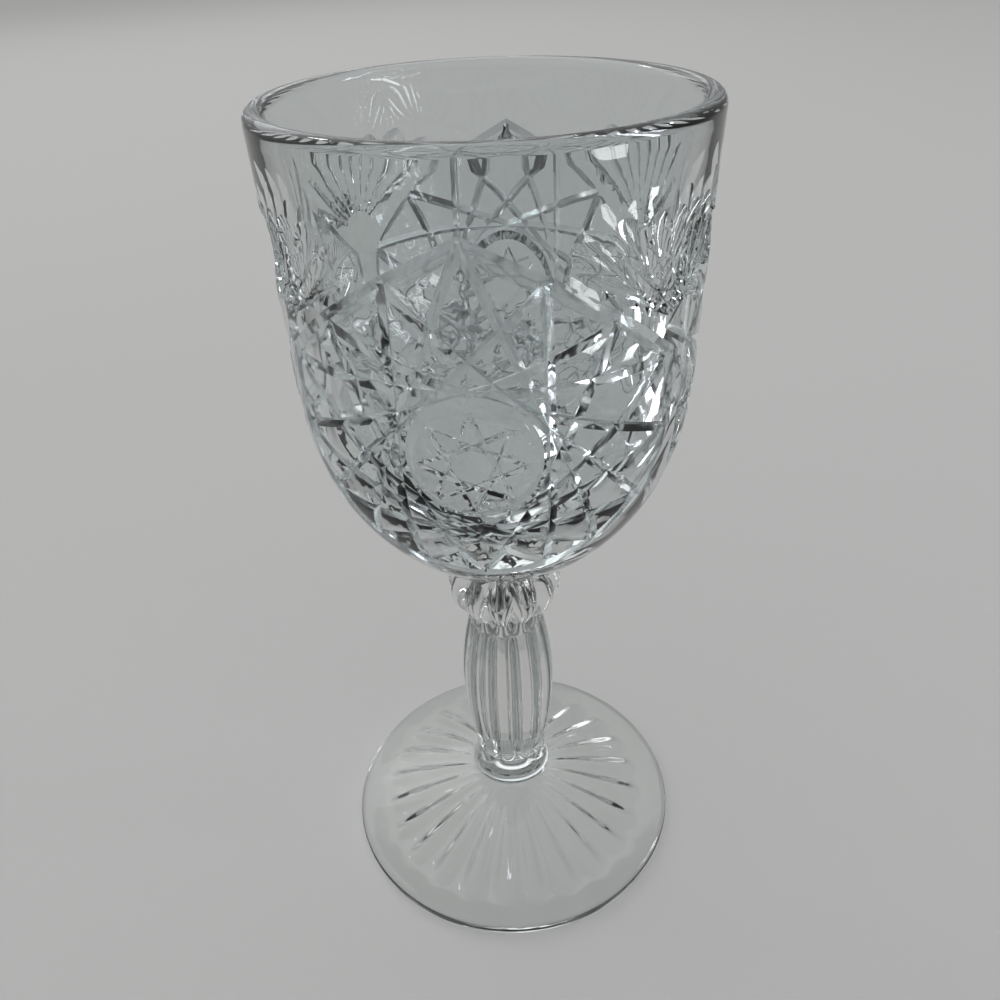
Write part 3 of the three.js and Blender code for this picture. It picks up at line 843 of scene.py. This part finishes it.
def glass_material(name, tint, roughness, wave_scale, waviness):
    """Pressed glass with a cool tint, darker where it is painted shade, and the slight waviness of its
    mould; lamps shine through it.
    """
    material = bpy.data.materials.new(name)
    material.use_nodes = True
    nodes = material.node_tree.nodes
    links = material.node_tree.links
    shader = nodes["Principled BSDF"]
    shader.inputs["Base Color"].default_value = (*tint, 1)
    shader.inputs["Transmission Weight"].default_value = 1
    shader.inputs["IOR"].default_value = GLASS_IOR
    shader.inputs["Roughness"].default_value = roughness
    place = nodes.new("ShaderNodeTexCoord")
    waves = nodes.new("ShaderNodeTexNoise")
    waves.inputs["Scale"].default_value = wave_scale
    waves.inputs["Detail"].default_value = 1
    bump = nodes.new("ShaderNodeBump")
    bump.inputs["Strength"].default_value = waviness
    bump.inputs["Distance"].default_value = WAVE_HEIGHT
    links.new(place.outputs["Object"], waves.inputs["Vector"])
    links.new(waves.outputs["Fac"], bump.inputs["Height"])
    links.new(bump.outputs["Normal"], shader.inputs["Normal"])
    rays = nodes.new("ShaderNodeLightPath")
    through = nodes.new("ShaderNodeBsdfTransparent")
    through.inputs["Color"].default_value = SHADOW_TINT
    mix = nodes.new("ShaderNodeMixShader")
    links.new(rays.outputs["Is Shadow Ray"], mix.inputs["Fac"])
    links.new(shader.outputs["BSDF"], mix.inputs[1])
    links.new(through.outputs["BSDF"], mix.inputs[2])
    links.new(mix.outputs["Shader"], nodes["Material Output"].inputs["Surface"])
    return material


def joint_material():
    """Hot joint inside the glass, where light goes straight on."""
    material = bpy.data.materials.new("hot_joint")
    material.use_nodes = True
    nodes = material.node_tree.nodes
    nodes.remove(nodes["Principled BSDF"])
    clear = nodes.new("ShaderNodeBsdfTransparent")
    material.node_tree.links.new(clear.outputs["BSDF"], nodes["Material Output"].inputs["Surface"])
    return material


def floor_material():
    """Plain pale matte floor."""
    material = bpy.data.materials.new("floor")
    material.use_nodes = True
    shader = material.node_tree.nodes["Principled BSDF"]
    shader.inputs["Base Color"].default_value = FLOOR_COLOUR
    shader.inputs["Roughness"].default_value = FLOOR_ROUGHNESS
    shader.inputs["Specular IOR Level"].default_value = 0
    return material


def make_floor():
    mesh = bpy.data.meshes.new("floor")
    w = FLOOR_SIZE / 2
    mesh.from_pydata([(-w, -w, 0), (w, -w, 0), (w, w, 0), (-w, w, 0)], [], [(0, 1, 2, 3)])
    mesh.materials.append(floor_material())
    card = bpy.data.objects.new("floor", mesh)
    bpy.context.scene.collection.objects.link(card)
    card.location = (0, 0, -FLOOR_GAP)
    card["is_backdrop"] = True


def make_lamp(name, centre, size, watts, colour=(1, 1, 1)):
    """Area lamp that faces the goblet, centre and size in metres."""
    lamp = bpy.data.lights.new(name, "AREA")
    lamp.shape = "RECTANGLE"
    lamp.size, lamp.size_y = size
    lamp.energy = watts
    lamp.color = colour
    obj = bpy.data.objects.new(name, lamp)
    bpy.context.scene.collection.objects.link(obj)
    obj.location = centre
    obj.rotation_mode = "QUATERNION"
    obj.rotation_quaternion = (Vector(LAMP_AIM) - Vector(centre)).to_track_quat("-Z", "Y")
    return obj


def make_world():
    """Soft room light, brighter overhead and a little to the left."""
    world = bpy.data.worlds.new("room")
    bpy.context.scene.world = world
    world.use_nodes = True
    nodes = world.node_tree.nodes
    links = world.node_tree.links
    place = nodes.new("ShaderNodeTexCoord")
    tilt = nodes.new("ShaderNodeVectorMath")
    tilt.operation = "DOT_PRODUCT"
    tilt.inputs[1].default_value = BRIGHT_SIDE
    shades = nodes.new("ShaderNodeValToRGB")
    stops = shades.color_ramp.elements
    stops[0].position = 0.0
    stops[0].color = DARK_ROOM
    stops[1].position = BRIGHT_ROOM_AT
    stops[1].color = BRIGHT_ROOM
    middle = stops.new(MIDDLE_ROOM_AT)
    middle.color = MIDDLE_ROOM
    links.new(place.outputs["Generated"], tilt.inputs[0])
    links.new(tilt.outputs["Value"], shades.inputs["Fac"])
    links.new(shades.outputs["Color"], nodes["Background"].inputs["Color"])
    nodes["Background"].inputs["Strength"].default_value = 1.0


def make_camera():
    """Camera at the photograph's place: above and in front, a little to the right of a star's middle."""
    ahead = math.cos(CAMERA_PITCH)
    forward = Vector((math.sin(CAMERA_YAW) * ahead, math.cos(CAMERA_YAW) * ahead, -math.sin(CAMERA_PITCH)))
    level = Vector((math.cos(CAMERA_YAW), -math.sin(CAMERA_YAW), 0))
    upright = level.cross(forward)
    right = level * math.cos(CAMERA_ROLL) + upright * math.sin(CAMERA_ROLL)
    up = upright * math.cos(CAMERA_ROLL) - level * math.sin(CAMERA_ROLL)
    pose = Matrix((right, up, -forward)).transposed().to_4x4()
    pose.translation = (0, -CAMERA_DISTANCE, CAMERA_HEIGHT)
    lens = bpy.data.cameras.new("camera")
    lens.sensor_width = SENSOR_WIDTH
    lens.lens = SENSOR_WIDTH * LENS_PER_SENSOR
    lens.clip_start = CAMERA_NEAR
    camera = bpy.data.objects.new("camera", lens)
    bpy.context.scene.collection.objects.link(camera)
    camera.matrix_world = Matrix.Rotation(CAMERA_TURN, 4, "Z") @ pose
    bpy.context.scene.camera = camera


smooth_glass = glass_material("clear_glass", BOWL_TINT, SMOOTH_ROUGHNESS, BROAD_WAVES, BOWL_WAVINESS)
shaded_relief_glass = glass_material("shaded_relief_glass", RELIEF_PAINTED_SHADE, RELIEF_ROUGHNESS, FINE_WAVES, PANEL_WAVINESS)
shaded_cut_glass = glass_material("shaded_cut_glass", CUT_PAINTED_SHADE, CUT_ROUGHNESS, FINE_WAVES, PANEL_WAVINESS)
foot_glass = glass_material("foot_glass", FOOT_TINT, FOOT_ROUGHNESS, BROAD_WAVES, FOOT_WAVINESS)
painted_shade_glass = glass_material("painted_shade_glass", GROOVE_AND_NECK_PAINTED_SHADE, GROOVE_ROUGHNESS, BROAD_WAVES, FOOT_WAVINESS)
joint = joint_material()
make_camera()
make_foot()
make_stem()
make_collar()
make_bowl()

make_floor()
make_lamp("window", centre=(-0.7, 1.2, 1.5), size=(2.0, 2.0), watts=9)
make_lamp("pane", centre=(-0.6, 0.5, 0.9), size=(0.05, 0.1), watts=0.5)
make_lamp("side", centre=(1.1, 0.1, 0.7), size=(0.1, 0.3), watts=1.2, colour=(0.85, 0.88, 1))
# Two small lamps that only make highlights in the glass
sill = make_lamp("sill", centre=(0.3, -0.12, 0.03), size=(0.12, 0.06), watts=0.22)
sill.visible_camera = False
sill.visible_diffuse = False
sill.visible_glossy = False
strip = make_lamp("strip", centre=(0.14, 0.01, 0.05), size=(0.014, 0.07), watts=0.04, colour=(0.9, 0.92, 1))
strip.visible_camera = False
strip.visible_diffuse = False
make_world()
bpy.context.scene.view_settings.view_transform = "Standard"

boxes = {"cad": cad_box, "visual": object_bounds()}
{name: [list(corner) for corner in box] for name, box in boxes.items()}
